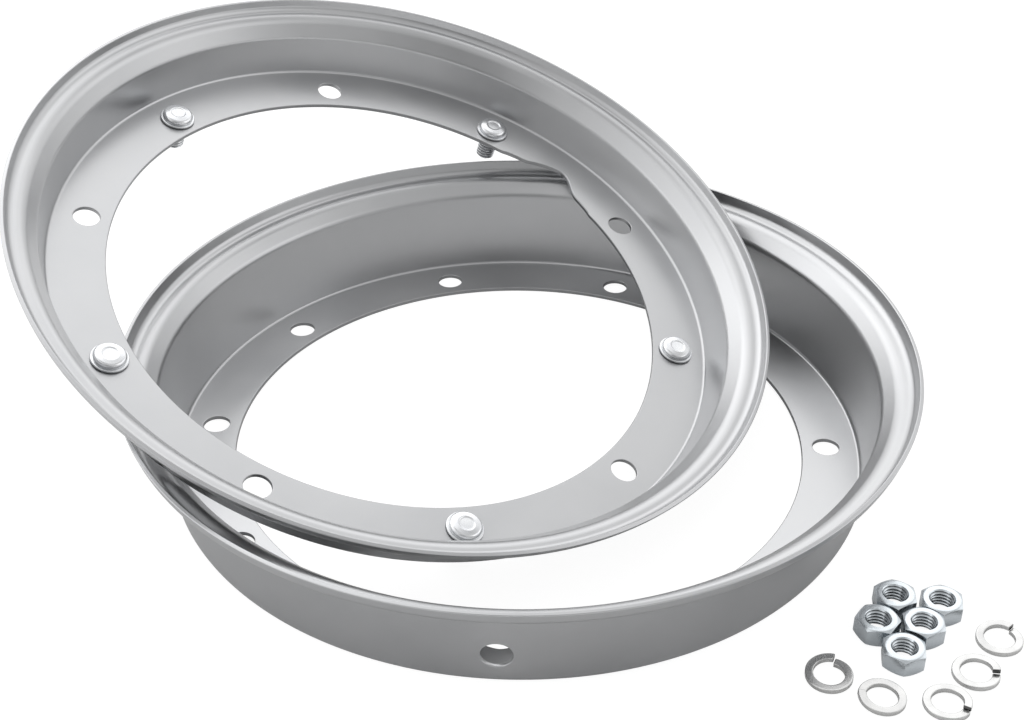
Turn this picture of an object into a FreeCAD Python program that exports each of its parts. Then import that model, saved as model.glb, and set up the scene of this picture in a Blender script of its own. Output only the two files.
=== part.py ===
import FreeCAD, Part
import math
import os

# Two-piece pressed steel wheel for a motor scooter, laid out apart.
# Millimetres, +Z up. The wide rim half stands on the floor plane z = 0 with its axis on Z.
# The narrow rim half leans over it, and the nuts and spring washers lie beside them.

X_AXIS = FreeCAD.Vector(1, 0, 0)
Y_AXIS = FreeCAD.Vector(0, 1, 0)
Z_AXIS = FreeCAD.Vector(0, 0, 1)
ORIGIN = FreeCAD.Vector(0, 0, 0)

# Rim halves: shared sizes
SHEET = 1.5                 # thickness of the pressed sheet
OPENING_R = 103.0           # central opening
HOLE_INSET = 9.0            # from the opening out to the circle of the bolt holes
HOLE_COUNT = 10
PLAIN_HOLE_R = 4.85
PLATE_MARGIN = 12.4         # from that circle out to where the plate turns up into the wall
CORNER_BEND = 2.75
WALL_TAPER = 3.55           # how much wider the wall is at its top, where the tyre's bead sits
SEAT_BEND = 3.0
SHOULDER_WIDTH = 3.95       # slope from the bead seat out to the flange
SHOULDER_RISE = 5.7
SHOULDER_BEND = 8.0
FLANGE_WIDTH = 6.3
LIP_BEND = 2.2
LIP_FLARE = 1.7             # how far the upturned lip leans out
LIP_HEIGHT = 4.5
EDGE_ROUND = 0.35           # rounding of the sheet's end faces
HOLE_ROUND = 0.25           # rounding of the punched holes' arrises

WIDE_DEPTH = 41.94          # plate underside to the middle of the lip's end
NARROW_DEPTH = 26.0

# Wide half: holes and valve hole
WIDE_HOLE_ANGLE = -2.81
VALVE_HOLE_R = 5.1
VALVE_Z = 12.5

# Narrow half: how it leans, and its holes
LEAN_ANGLE = 143.7          # side of the wide half over which it lies
LEAN_SKEW = 0.65            # its highest side is that much further round
LEAN_SPIN = -1.590          # turn about its own axis
STEEPEST_LEAN = 60.0        # its tilt is looked for up to this
LEAN_STEPS = 16             # in so many halvings
FLOOR_GAP = 0.15            # under the lowest stud
LIP_GAP = 0.18              # over the wide half's flange and lip
HOOK_GAP = 0.53             # between the hooked studs and that lip's end
NARROW_HOLE_ANGLE = 109.727
HOOKED_STUDS = (0, 3)       # the two studs that hang outside the wide half
NOTCH_EDGE = (              # outline of the valve relief: turn from its middle, step past the opening
    (-14.5, -2.0),
    (-12.4, 0.2),
    (-9.2, 1.3),
    (-6.6, 2.1),
    (-4.9, 3.6),
    (-3.1, 6.0),
    (-1.5, 8.0),
    (0.0, 8.7),
    (1.8, 7.9),
    (3.8, 6.4),
    (5.7, 4.5),
    (7.5, 2.5),
    (10.3, 1.5),
    (13.2, 0.2),
    (15.3, -2.0),
)
NOTCH_ROUND = 0.6           # the relief's upper arris rolls over

# Studs: pressed through the narrow half's plate from above
THREAD_R = 3.95             # M8
STUD_HOLE_GAP = 0.3
STUD_REACH = 11.3           # below the plate's underside
STUD_END_CHAMFER = 0.8
COLLAR_R = 6.55             # the head's step on the plate
COLLAR_HEIGHT = 1.1
BUTTON_R = 5.75             # the head above its step
HEAD_HEIGHT = 3.12
HEAD_ROUND = 1.0
DIMPLE_R = 2.8
DIMPLE_DEPTH = 0.27

# Nuts: M8 hexagon nuts standing on the floor
NUT_FLATS = 12.8
NUT_HEIGHT = 6.5
NUT_BORE_R = 3.4
NUT_SINK = 0.9              # countersink, as wide as it is deep
NUT_FACE_LAND = 0.3         # how far the corner chamfer reaches in past the flats
NUT_CHAMFER_DEG = 28.0

# Spring washers: M8 split rings, left-hand coil, standing on the floor
WASHER_OUT_R = 7.4
WASHER_IN_R = 4.9
WASHER_THICK = 1.6
WASHER_EDGE = 0.25
WASHER_SPLIT_DEG = 4.0
WASHER_LEAN = 0.297         # tangent of its lean, as a share of its rise over its radius
WASHER_LEAN_ANGLE = -36.8   # from the low end, where it leans to

# Where the loose hardware lies: places are in steps of its own width from one point
HEAP_ANGLE = -43.0
HEAP_GAP = 3.2              # outside the wide half's lip
NUTS = (                    # steps along X and Y, angle of one corner
    (1.102, 0.557, 27.9),
    (2.090, 0.401, 22.3),
    (0.594, -0.232, -6.8),
    (1.558, -0.312, 26.3),
    (1.000, -1.101, 22.5),
)
WASHERS = (                 # steps along X and Y, angle of the split, rise from end to end
    (-0.615, -1.587, 66.8, 2.0),
    (0.371, -2.209, 165.0, 1.3),
    (1.682, -2.358, -33.6, 1.3),
    (2.459, -1.486, -8.8, 1.6),
    (3.182, -0.459, 41.0, 1.3),
)

# Worked out from the sizes above
HOLE_STEP = 360.0 / HOLE_COUNT
STUD_COUNT = HOLE_COUNT // 2
VALVE_ANGLE = WIDE_HOLE_ANGLE - 2.5 * HOLE_STEP
NOTCH_ANGLE = NARROW_HOLE_ANGLE - 1.5 * HOLE_STEP
HOLE_CIRCLE_R = OPENING_R + HOLE_INSET
CORNER_R = HOLE_CIRCLE_R + PLATE_MARGIN
SEAT_R = CORNER_R + WALL_TAPER
FLANGE_IN_R = SEAT_R + SHOULDER_WIDTH
FLANGE_OUT_R = FLANGE_IN_R + FLANGE_WIDTH
LIP_END_R = FLANGE_OUT_R + LIP_FLARE
LIP_OUT_R = LIP_END_R + SHEET / 2
NUT_CORNER_R = NUT_FLATS / 2 / math.cos(math.pi / 6)
LAY_STEP = 2 * max(NUT_CORNER_R, WASHER_OUT_R)


def rim_path(depth):
    """Middle line of the sheet as radius, height and bend radius, from opening to lip."""
    flange = depth - LIP_HEIGHT
    return (
        (OPENING_R, SHEET / 2, 0.0),
        (CORNER_R, SHEET / 2, CORNER_BEND),
        (SEAT_R, flange - SHOULDER_RISE, SEAT_BEND),
        (FLANGE_IN_R, flange, SHOULDER_BEND),
        (FLANGE_OUT_R, flange, LIP_BEND),
        (LIP_END_R, depth, 0.0),
    )


def in_section(radius, height):
    """A point of the section, drawn in the XZ plane."""
    return FreeCAD.Vector(radius, 0, height)


def offset_side(path, offset):
    """Edges of one face of the sheet: straight runs joined by arcs, beside the middle line."""
    corners = [in_section(r, z) for r, z, bend in path]
    runs = [(b - a).normalize() for a, b in zip(corners, corners[1:])]
    sides = [FreeCAD.Vector(-d.z, 0, d.x) for d in runs]
    edges = []
    here = corners[0] + sides[0] * offset
    for i in range(1, len(corners) - 1):
        before, after = runs[i - 1], runs[i]
        turn = math.atan2(before.x * after.z - before.z * after.x, before.dot(after))
        way = 1.0 if turn > 0 else -1.0
        bend = path[i][2]
        reach = bend * math.tan(abs(turn) / 2)
        start = corners[i] - before * reach
        end = corners[i] + after * reach
        centre = start + sides[i - 1] * (way * bend)
        arc_start = start + sides[i - 1] * offset
        arc_end = end + sides[i] * offset
        middle = (arc_start + arc_end) * 0.5 - centre
        arc_middle = centre + middle.normalize() * (bend - way * offset)
        edges.append(Part.LineSegment(here, arc_start).toShape())
        edges.append(Part.Arc(arc_start, arc_middle, arc_end).toShape())
        here = arc_end
    last = corners[-1] + sides[-1] * offset
    edges.append(Part.LineSegment(here, last).toShape())
    return edges


def rounded_end(first, second, outward, rounding):
    """Joins two points of an end face through two small roundings, as four edges' points."""
    across = (second - first).normalize()
    a = first - outward * rounding
    b = first + across * rounding
    c = second - across * rounding
    d = second - outward * rounding
    cut = rounding * (1 - math.sqrt(0.5))
    mid_ab = first - outward * cut + across * cut
    mid_cd = second - outward * cut - across * cut
    return a, mid_ab, b, c, mid_cd, d


def sheet_section(path, thickness):
    """Closed section of a bent sheet of even thickness with softly rounded ends."""
    upper = offset_side(path, thickness / 2)
    lower = offset_side(path, -thickness / 2)
    first_run = (in_section(path[1][0], path[1][1]) - in_section(path[0][0], path[0][1])).normalize()
    last_run = (in_section(path[-1][0], path[-1][1]) - in_section(path[-2][0], path[-2][1])).normalize()
    lip = rounded_end(
        upper[-1].Vertexes[1].Point, lower[-1].Vertexes[1].Point, last_run, EDGE_ROUND
    )
    rim = rounded_end(
        lower[0].Vertexes[0].Point, upper[0].Vertexes[0].Point, first_run * -1, EDGE_ROUND
    )
    upper[0] = Part.LineSegment(rim[5], upper[0].Vertexes[1].Point).toShape()
    lower[0] = Part.LineSegment(rim[0], lower[0].Vertexes[1].Point).toShape()
    upper[-1] = Part.LineSegment(upper[-1].Vertexes[0].Point, lip[0]).toShape()
    lower[-1] = Part.LineSegment(lower[-1].Vertexes[0].Point, lip[5]).toShape()
    ends = []
    for a, mid_ab, b, c, mid_cd, d in (lip, rim):
        ends.append(Part.Arc(a, mid_ab, b).toShape())
        ends.append(Part.LineSegment(b, c).toShape())
        ends.append(Part.Arc(c, mid_cd, d).toShape())
    wire = Part.Wire(Part.__sortEdges__(upper + lower + ends))
    return Part.Face(wire)


def rim_shell(depth):
    """One pressed rim half, before its holes."""
    return sheet_section(rim_path(depth), SHEET).revolve(ORIGIN, Z_AXIS, 360)


def polar(radius, degrees, z):
    """A point at a radius and an angle about Z."""
    a = math.radians(degrees)
    return FreeCAD.Vector(radius * math.cos(a), radius * math.sin(a), z)


def plate_hole(radius, degrees):
    """Drill through the plate at one place of the hole circle, flared at both faces."""
    wide = radius + HOLE_ROUND
    diagonal = HOLE_ROUND * math.sqrt(0.5)
    low, high = HOLE_ROUND, SHEET - HOLE_ROUND
    below, above = in_section(wide, 0), in_section(wide, SHEET)
    foot, head = in_section(radius, low), in_section(radius, high)
    edges = [
        Part.LineSegment(in_section(0, -SHEET), in_section(wide, -SHEET)).toShape(),
        Part.LineSegment(in_section(wide, -SHEET), below).toShape(),
        Part.Arc(below, in_section(wide - diagonal, low - diagonal), foot).toShape(),
        Part.LineSegment(foot, head).toShape(),
        Part.Arc(head, in_section(wide - diagonal, high + diagonal), above).toShape(),
        Part.LineSegment(above, in_section(wide, 2 * SHEET)).toShape(),
        Part.LineSegment(in_section(wide, 2 * SHEET), in_section(0, 2 * SHEET)).toShape(),
        Part.LineSegment(in_section(0, 2 * SHEET), in_section(0, -SHEET)).toShape(),
    ]
    body = Part.Face(Part.Wire(edges)).revolve(ORIGIN, Z_AXIS, 360)
    body.translate(polar(HOLE_CIRCLE_R, degrees, 0))
    return body


def wide_rim_half():
    """The deep half: ten plain holes and the valve hole through its wall."""
    drills = [
        plate_hole(PLAIN_HOLE_R, WIDE_HOLE_ANGLE + HOLE_STEP * i) for i in range(HOLE_COUNT)
    ]
    outward = polar(1.0, VALVE_ANGLE, 0)
    drills.append(
        Part.makeCylinder(
            VALVE_HOLE_R, LIP_OUT_R - OPENING_R, polar(OPENING_R, VALVE_ANGLE, VALVE_Z), outward
        )
    )
    return rim_shell(WIDE_DEPTH).cut(drills)


def relief_outline(offset, z):
    """Closed outline of the valve relief, widened by an offset, at one height."""
    flat = [polar(OPENING_R + step, NOTCH_ANGLE + turn, z) for turn, step in NOTCH_EDGE]
    points = []
    for i, here in enumerate(flat):
        along = flat[min(i + 1, len(flat) - 1)] - flat[max(i - 1, 0)]
        along.normalize()
        points.append(here + FreeCAD.Vector(-along.y, along.x, 0) * -offset)
    curve = Part.BSplineCurve()
    curve.interpolate(points)
    inner_a = polar(0.9 * OPENING_R, NOTCH_ANGLE + NOTCH_EDGE[0][0], z)
    inner_b = polar(0.9 * OPENING_R, NOTCH_ANGLE + NOTCH_EDGE[-1][0], z)
    lines = [
        Part.LineSegment(points[-1], inner_b).toShape(),
        Part.LineSegment(inner_b, inner_a).toShape(),
        Part.LineSegment(inner_a, points[0]).toShape(),
    ]
    return Part.Wire([curve.toShape()] + lines)


def notch_cutter():
    """Body of the valve relief: straight below, and flared where the sheet's arris rolls over."""
    levels = [(0.0, -SHEET), (0.0, SHEET - NOTCH_ROUND)]
    for degrees in (30, 60, 90):
        a = math.radians(degrees)
        levels.append((NOTCH_ROUND * (1 - math.cos(a)), SHEET - NOTCH_ROUND * (1 - math.sin(a))))
    levels.append((NOTCH_ROUND, 2 * SHEET))
    wires = [relief_outline(offset, z) for offset, z in levels]
    return Part.makeLoft(wires, True, True)


def narrow_rim_half():
    """The shallow half: plain holes, stud holes in turn, and the valve relief."""
    drills = []
    for i in range(HOLE_COUNT):
        radius = THREAD_R + STUD_HOLE_GAP if i % 2 else PLAIN_HOLE_R
        drills.append(plate_hole(radius, NARROW_HOLE_ANGLE - HOLE_STEP * i))
    return rim_shell(NARROW_DEPTH).cut(drills + [notch_cutter()])


def stud_outline():
    """Half section of a stud: dimpled button, stepped collar, shank and chamfered end."""
    top = SHEET + HEAD_HEIGHT
    step = SHEET + COLLAR_HEIGHT
    crown = BUTTON_R - HEAD_ROUND
    diagonal = HEAD_ROUND * math.sqrt(0.5)
    groove = (COLLAR_R - BUTTON_R) / 2
    collar_round = COLLAR_HEIGHT / 2
    points = [
        in_section(0, top - DIMPLE_DEPTH),
        in_section(DIMPLE_R - 2 * DIMPLE_DEPTH, top - DIMPLE_DEPTH),
        in_section(DIMPLE_R, top),
        in_section(crown, top),
    ]
    edges = [Part.LineSegment(a, b).toShape() for a, b in zip(points, points[1:])]
    side = in_section(BUTTON_R, top - HEAD_ROUND)
    edges.append(
        Part.Arc(
            points[-1],
            in_section(crown + diagonal, top - HEAD_ROUND + diagonal),
            side,
        ).toShape()
    )
    foot = in_section(BUTTON_R - groove, step + groove)
    ledge = in_section(BUTTON_R, step)
    brim = in_section(COLLAR_R - 0.3 * collar_round, SHEET + collar_round * 1.7)
    edges.append(Part.LineSegment(side, foot).toShape())
    edges.append(Part.LineSegment(foot, ledge).toShape())
    edges.append(Part.LineSegment(ledge, brim).toShape())
    rest = [
        in_section(COLLAR_R, SHEET + collar_round),
        in_section(COLLAR_R - groove / 2, SHEET),
        in_section(THREAD_R, SHEET),
        in_section(THREAD_R, STUD_END_CHAMFER - STUD_REACH),
        in_section(THREAD_R - STUD_END_CHAMFER, -STUD_REACH),
        in_section(0, -STUD_REACH),
        points[0],
    ]
    for a, b in zip([brim] + rest, rest):
        edges.append(Part.LineSegment(a, b).toShape())
    return Part.Face(Part.Wire(edges))


def stud_angle(index):
    """Where a stud stands on the hole circle: every second hole."""
    return NARROW_HOLE_ANGLE - HOLE_STEP * (2 * index + 1)


def stud(index):
    """Threaded stud with a stepped, dimpled button head lying on the plate."""
    body = stud_outline().revolve(ORIGIN, Z_AXIS, 360)
    body.translate(polar(HOLE_CIRCLE_R, stud_angle(index), 0))
    return body


def lean_turn(tilt):
    """How the narrow half is turned at a tilt in degrees."""
    across = polar(1.0, LEAN_ANGLE + LEAN_SKEW - 90, 0)
    return FreeCAD.Rotation(across, tilt).multiply(FreeCAD.Rotation(Z_AXIS, LEAN_SPIN))


def side_line(path, offset):
    """One face of the sheet as a line of radius and height."""
    points = []
    for edge in offset_side(path, offset):
        points += [(p.x, p.z) for p in edge.discretize(8)]
    return points


def height_at(line, radius):
    """Height of such a line at one radius, or none past its ends."""
    for (r0, z0), (r1, z1) in zip(line, line[1:]):
        if r0 <= radius <= r1 and r1 > r0:
            return z0 + (z1 - z0) * (radius - r0) / (r1 - r0)
    return -math.inf


def floor_height(turn):
    """Height of the plate's centre at which its lowest stud clears the floor."""
    tilt_sine = math.sqrt(1 - turn.multVec(Z_AXIS).z ** 2)
    ends = [
        turn.multVec(polar(HOLE_CIRCLE_R, stud_angle(i), -STUD_REACH)).z for i in range(STUD_COUNT)
    ]
    return FLOOR_GAP + (THREAD_R - STUD_END_CHAMFER) * tilt_sine - min(ends)


def hook_reach(turn, height):
    """Distance between the halves' centres at which the hooked studs clear the wide half's lip."""
    toward = polar(1.0, LEAN_ANGLE, 0)
    axis = turn.multVec(Z_AXIS)
    reach = 0.0
    for index in HOOKED_STUDS:
        foot = turn.multVec(polar(HOLE_CIRCLE_R, stud_angle(index), -STUD_REACH))
        below = WIDE_DEPTH - height - foot.z
        if below > 0:
            foot += axis * (below / axis.z)
            clear = LIP_OUT_R + THREAD_R / axis.z + HOOK_GAP
        else:
            clear = LIP_END_R + THREAD_R - STUD_END_CHAMFER + HOOK_GAP
        along = foot.x * toward.x + foot.y * toward.y
        across = foot.x * toward.y - foot.y * toward.x
        reach = max(reach, math.sqrt(clear**2 - across**2) - along)
    return reach


def rim_height(turn, reach, rim_top, underside):
    """Height of the plate's centre at which its half clears the wide half's rim."""
    centre = polar(reach, LEAN_ANGLE, 0)
    height = 0.0
    for degrees in range(0, 360, 2):
        for radius, z in underside:
            point = turn.multVec(polar(radius, degrees, z)) + centre
            over = math.hypot(point.x, point.y) + LIP_GAP
            height = max(height, height_at(rim_top, over) + LIP_GAP - point.z)
    return height


def lean_placement():
    """Rest of the narrow half: stud ends down on the floor, hooked on the lip and lying on it."""
    rim_top = side_line(rim_path(WIDE_DEPTH), SHEET / 2)
    underside = side_line(rim_path(NARROW_DEPTH), -SHEET / 2)
    flat, steep = 0.0, STEEPEST_LEAN
    for _ in range(LEAN_STEPS):
        tilt = (flat + steep) / 2
        turn = lean_turn(tilt)
        height = floor_height(turn)
        reach = hook_reach(turn, height)
        if rim_height(turn, reach, rim_top, underside) > height:
            flat = tilt
        else:
            steep = tilt
    return FreeCAD.Placement(polar(reach, LEAN_ANGLE, height), turn)


def leaning(shape, placement):
    """A piece of the narrow half, set where that half leans."""
    placed = shape.copy()
    placed.Placement = placement.multiply(shape.Placement)
    return placed


def laid_out(across, along):
    """A place among the loose hardware, from its steps."""
    start = polar(LIP_OUT_R + HEAP_GAP, HEAP_ANGLE, 0)
    return start + FreeCAD.Vector(across, along, 0) * LAY_STEP


def nut(place, degrees):
    """Hexagon nut with chamfered corners and a countersunk bore."""
    corners = [polar(NUT_CORNER_R, degrees + 60 * i, 0) for i in range(6)]
    hexagon = Part.Face(Part.makePolygon(corners + corners[:1])).extrude(Z_AXIS * NUT_HEIGHT)
    face_r = NUT_FLATS / 2 - NUT_FACE_LAND
    drop = (NUT_CORNER_R - face_r) * math.tan(math.radians(NUT_CHAMFER_DEG))
    turned = [
        in_section(0, 0),
        in_section(face_r, 0),
        in_section(NUT_CORNER_R, drop),
        in_section(NUT_CORNER_R, NUT_HEIGHT - drop),
        in_section(face_r, NUT_HEIGHT),
        in_section(0, NUT_HEIGHT),
        in_section(0, 0),
    ]
    body = hexagon.common(Part.Face(Part.makePolygon(turned)).revolve(ORIGIN, Z_AXIS, 360))
    bore = [
        in_section(0, -NUT_SINK),
        in_section(NUT_BORE_R + 2 * NUT_SINK, -NUT_SINK),
        in_section(NUT_BORE_R, NUT_SINK),
        in_section(NUT_BORE_R, NUT_HEIGHT - NUT_SINK),
        in_section(NUT_BORE_R + 2 * NUT_SINK, NUT_HEIGHT + NUT_SINK),
        in_section(0, NUT_HEIGHT + NUT_SINK),
        in_section(0, -NUT_SINK),
    ]
    body = body.cut(Part.Face(Part.makePolygon(bore)).revolve(ORIGIN, Z_AXIS, 360))
    body.translate(place)
    return body


def spring_washer(place, degrees, rise):
    """Split ring wound as one left-hand coil, leaning as it stands on the floor."""
    mean_r = (WASHER_OUT_R + WASHER_IN_R) / 2
    height = rise * (360.0 - WASHER_SPLIT_DEG) / 360.0
    helix = Part.makeHelix(rise, height, mean_r, 0, True)
    inner, outer = WASHER_IN_R, WASHER_OUT_R
    edge = WASHER_EDGE
    top = WASHER_THICK
    section = [
        in_section(inner + edge, 0),
        in_section(outer - edge, 0),
        in_section(outer, edge),
        in_section(outer, top - edge),
        in_section(outer - edge, top),
        in_section(inner + edge, top),
        in_section(inner, top - edge),
        in_section(inner, edge),
        in_section(inner + edge, 0),
    ]
    profile = Part.Wire(Part.makePolygon(section))
    ring = Part.Wire(helix).makePipeShell([profile], True, True)
    lean = math.degrees(math.atan(WASHER_LEAN * rise / WASHER_OUT_R))
    ring.rotate(ORIGIN, polar(1.0, WASHER_LEAN_ANGLE + 90, 0), -lean)
    ring.rotate(ORIGIN, Z_AXIS, degrees - WASHER_SPLIT_DEG / 2)
    lowest = ring.optimalBoundingBox(False, False).ZMin
    ring.translate(FreeCAD.Vector(place.x, place.y, -lowest))
    return ring


def build():
    """Every piece by name, in its place."""
    placement = lean_placement()
    pieces = {
        "wide_rim_half": wide_rim_half(),
        "narrow_rim_half": leaning(narrow_rim_half(), placement),
    }
    for i in range(STUD_COUNT):
        pieces["stud_%d" % (i + 1)] = leaning(stud(i), placement)
    for i, (across, along, angle) in enumerate(NUTS):
        pieces["nut_%d" % (i + 1)] = nut(laid_out(across, along), angle)
    for i, (across, along, angle, rise) in enumerate(WASHERS):
        pieces["spring_washer_%d" % (i + 1)] = spring_washer(laid_out(across, along), angle, rise)
    return pieces


os.makedirs("parts", exist_ok=True)
for name, shape in build().items():
    shape.Solids[0].exportStep("parts/%s.step" % name)
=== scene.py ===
import logging
import math
from dataclasses import dataclass
from enum import Enum
from typing import Optional, Sequence

import bpy
import numpy as np
from mathutils import Matrix


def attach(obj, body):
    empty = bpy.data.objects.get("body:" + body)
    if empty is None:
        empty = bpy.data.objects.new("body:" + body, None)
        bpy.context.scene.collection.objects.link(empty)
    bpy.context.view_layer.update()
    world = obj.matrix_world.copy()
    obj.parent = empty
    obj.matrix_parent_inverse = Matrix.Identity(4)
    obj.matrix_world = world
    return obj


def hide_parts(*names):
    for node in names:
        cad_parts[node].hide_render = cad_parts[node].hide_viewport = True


# Looks of a two-piece pressed steel scooter wheel, laid out apart on a pale floor: a deep rim
# half, a shallow one leaning over it with its studs, and the nuts and spring washers beside them.
# Sizes are written in millimetres, as in the part's source, and turned to metres on the way out.

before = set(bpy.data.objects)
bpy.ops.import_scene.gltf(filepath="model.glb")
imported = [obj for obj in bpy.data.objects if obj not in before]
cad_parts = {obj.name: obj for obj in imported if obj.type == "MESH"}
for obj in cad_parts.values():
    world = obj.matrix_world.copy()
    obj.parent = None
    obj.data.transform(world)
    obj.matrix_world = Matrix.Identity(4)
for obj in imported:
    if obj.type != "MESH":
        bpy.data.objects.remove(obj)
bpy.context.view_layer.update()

LOG = logging.getLogger("scooter_wheel")
MM = 0.001
TURN = 2.0 * math.pi

Colour = tuple[float, float, float]


# ---------------------------------------------------------------------------------------------
# Surfaces worked out as whole arrays
# ---------------------------------------------------------------------------------------------


def joined(*parts: np.ndarray | float) -> np.ndarray:
    """Arrays spread to one layout and joined as its last axis."""
    return np.stack(np.broadcast_arrays(*parts), axis=-1)


def about_z(angle: float) -> np.ndarray:
    """The matrix of a turn about Z by an angle in radians."""
    c, s = math.cos(angle), math.sin(angle)
    return np.array([[c, -s, 0], [s, c, 0], [0, 0, 1]])


def spun(spoke: np.ndarray, angles: np.ndarray) -> np.ndarray:
    """A spoke of the radius and height plane turned by each of some angles."""
    r, z = spoke
    c, s = np.cos(angles), np.sin(angles)
    return joined(r * c - z * s, r * s + z * c)


class Outline:
    """A line of radius and height, drawn in straight runs and arcs, that is turned or carried."""

    def __init__(self, radius: float, height: float) -> None:
        """Starts the line at a point."""
        self.runs = [np.array([[radius, height]])]

    def line(self, radius: float, height: float, steps: int = 1) -> "Outline":
        """Adds a straight run.

        Args:
            radius: Radius at its end.
            height: Height at its end.
            steps: Rows of points that it is divided into.

        Returns:
            The outline itself, so that runs can be written one after another.
        """
        t = np.linspace(0.0, 1.0, steps + 1)[1:, None]
        self.runs.append((1 - t) * self.runs[-1][-1] + t * np.array([radius, height]))
        return self

    def arc(self, centre: tuple[float, float], degrees: float, steps: int) -> "Outline":
        """Adds an arc: the last point turned about a centre by steps of one angle.

        Args:
            centre: Radius and height of the arc's centre.
            degrees: How far it turns, anticlockwise in the radius and height plane.
            steps: Rows of points that it is divided into.

        Returns:
            The outline itself.
        """
        spoke = self.runs[-1][-1] - np.array(centre)
        a = np.radians(degrees) * np.linspace(0.0, 1.0, steps + 1)[1:]
        self.runs.append(np.array(centre) + spun(spoke, a))
        return self

    def points(self) -> np.ndarray:
        """Every point of the line, as rows of radius and height."""
        return np.concatenate(self.runs)


class SurfaceMesh:
    """Grid surfaces joined into one closed mesh with its faces outwards."""

    def __init__(self) -> None:
        """Starts with no points and no faces."""
        self.points: list[np.ndarray] = []
        self.normals: list[np.ndarray] = []
        self.shades: list[np.ndarray] = []
        self.faces: list[np.ndarray] = []
        self.count = 0

    def add_points(
        self,
        points: np.ndarray,
        normals: Optional[np.ndarray] = None,
        shade: np.ndarray | float = 0.0,
    ) -> np.ndarray:
        """Keeps points.

        Args:
            points: In any layout, by three.
            normals: Outward normals, if they are known.
            shade: How dark each point is, from 0 to 1, in the points' layout or one that fits it.

        Returns:
            The points' numbers in the same layout.
        """
        flat = points.reshape(-1, 3)
        layout = points.shape[:-1]
        self.shades.append(np.broadcast_to(shade, layout).ravel())
        numbers = np.arange(self.count, self.count + len(flat)).reshape(layout)
        self.points.append(flat)
        if normals is not None:
            self.normals.append(normals.reshape(-1, 3))
        self.count += len(flat)
        return numbers

    def at(self, numbers: np.ndarray) -> np.ndarray:
        """Points by their numbers."""
        return np.concatenate(self.points)[numbers]

    def move(self, turn: np.ndarray, offset: Sequence[float]) -> None:
        """Turns every point and normal by a matrix and moves the points."""
        self.points = [p @ turn.T + np.array(offset) for p in self.points]
        self.normals = [n @ turn.T for n in self.normals]

    def between(self, before: np.ndarray, rings: np.ndarray, after: np.ndarray) -> None:
        """Joins a loop of points through rings of as many points to another loop."""
        numbers = np.concatenate([before[None], rings, after[None]])
        self.faces.append(self.cells(numbers[:-1], numbers[1:]).reshape(-1, 4))

    @staticmethod
    def cells(here: np.ndarray, up: np.ndarray) -> np.ndarray:
        """Corners of the four-sided faces between rows of points and the rows after them."""
        return joined(here, np.roll(here, -1, axis=1), np.roll(up, -1, axis=1), up)

    def grid(
        self,
        points: np.ndarray,
        normals: Optional[np.ndarray] = None,
        round_rows: bool = False,
        skip: Optional[np.ndarray] = None,
        shade: np.ndarray | float = 0.0,
    ) -> np.ndarray:
        """Adds a surface: each cell of a grid of points is a four-sided face.

        Args:
            points: Rows by columns by three.
            normals: Outward normals, if they are known.
            round_rows: Whether the last row meets the first, as the last column always does.
            skip: Cells that are left out, rows by columns.
            shade: How dark each point is, from 0 to 1.

        Returns:
            The points' numbers, rows by columns.
        """
        numbers = self.add_points(points, normals, shade)
        here = numbers if round_rows else numbers[:-1]
        up = np.roll(numbers, -1, axis=0) if round_rows else numbers[1:]
        cells = self.cells(here, up)
        self.faces.append(cells.reshape(-1, 4) if skip is None else cells[~skip])
        return numbers

    def pole(self, ring: np.ndarray, tip: np.ndarray, shade: float = 0.0) -> None:
        """Closes a ring of points with a fan of three-sided faces to one point."""
        centre = self.add_points(np.asarray(tip, float)[None], shade=shade)
        self.faces.append(joined(np.roll(ring, -1), ring, centre))

    def build(self, name: str, crease_deg: float) -> bpy.types.Object:
        """Makes the Blender object, smooth except where faces meet at a sharper angle.

        Args:
            name: Name of the piece.
            crease_deg: Faces that meet at more than this angle keep a hard edge.

        Returns:
            The object, at the origin, unturned and unscaled, in metres.
        """
        points = np.concatenate(self.points) * MM
        sizes = np.concatenate([np.full(len(f), f.shape[1]) for f in self.faces])
        corners = np.concatenate([f.ravel() for f in self.faces])
        if self.volume(points) < 0:
            corners = np.concatenate([f[:, ::-1].ravel() for f in self.faces])
        mesh = bpy.data.meshes.new(name)
        mesh.vertices.add(len(points))
        mesh.vertices.foreach_set("co", points.astype(np.float32).ravel())
        mesh.loops.add(len(corners))
        mesh.loops.foreach_set("vertex_index", corners.astype(np.int32))
        mesh.polygons.add(len(sizes))
        starts = np.concatenate([[0], np.cumsum(sizes)[:-1]])
        mesh.polygons.foreach_set("loop_start", starts.astype(np.int32))
        mesh.update(calc_edges=True)
        mesh.validate()
        dark = mesh.attributes.new("shade", "FLOAT", "POINT")
        dark.data.foreach_set("value", np.concatenate(self.shades).astype(np.float32))
        mesh.polygons.foreach_set("use_smooth", np.ones(len(mesh.polygons), bool))
        if self.normals:
            mesh.normals_split_custom_set_from_vertices(np.concatenate(self.normals).tolist())
        else:
            mesh.set_sharp_from_angle(angle=math.radians(crease_deg))
        mesh.update()
        obj = bpy.data.objects.new(name, mesh)
        bpy.context.scene.collection.objects.link(obj)
        return obj

    def volume(self, points: np.ndarray) -> float:
        """Signed volume: the sum over all faces, in fans, of a dot (b cross c) over six.

        Args:
            points: Every point, in the order of the numbers.

        Returns:
            The volume, negative where the faces point inwards.
        """
        total = 0.0
        for faces in self.faces:
            for i in range(1, faces.shape[1] - 1):
                a, b, c = points[faces[:, 0]], points[faces[:, i]], points[faces[:, i + 1]]
                total += float(np.einsum("ij,ij->", a, np.cross(b, c))) / 6.0
        return total


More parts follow.
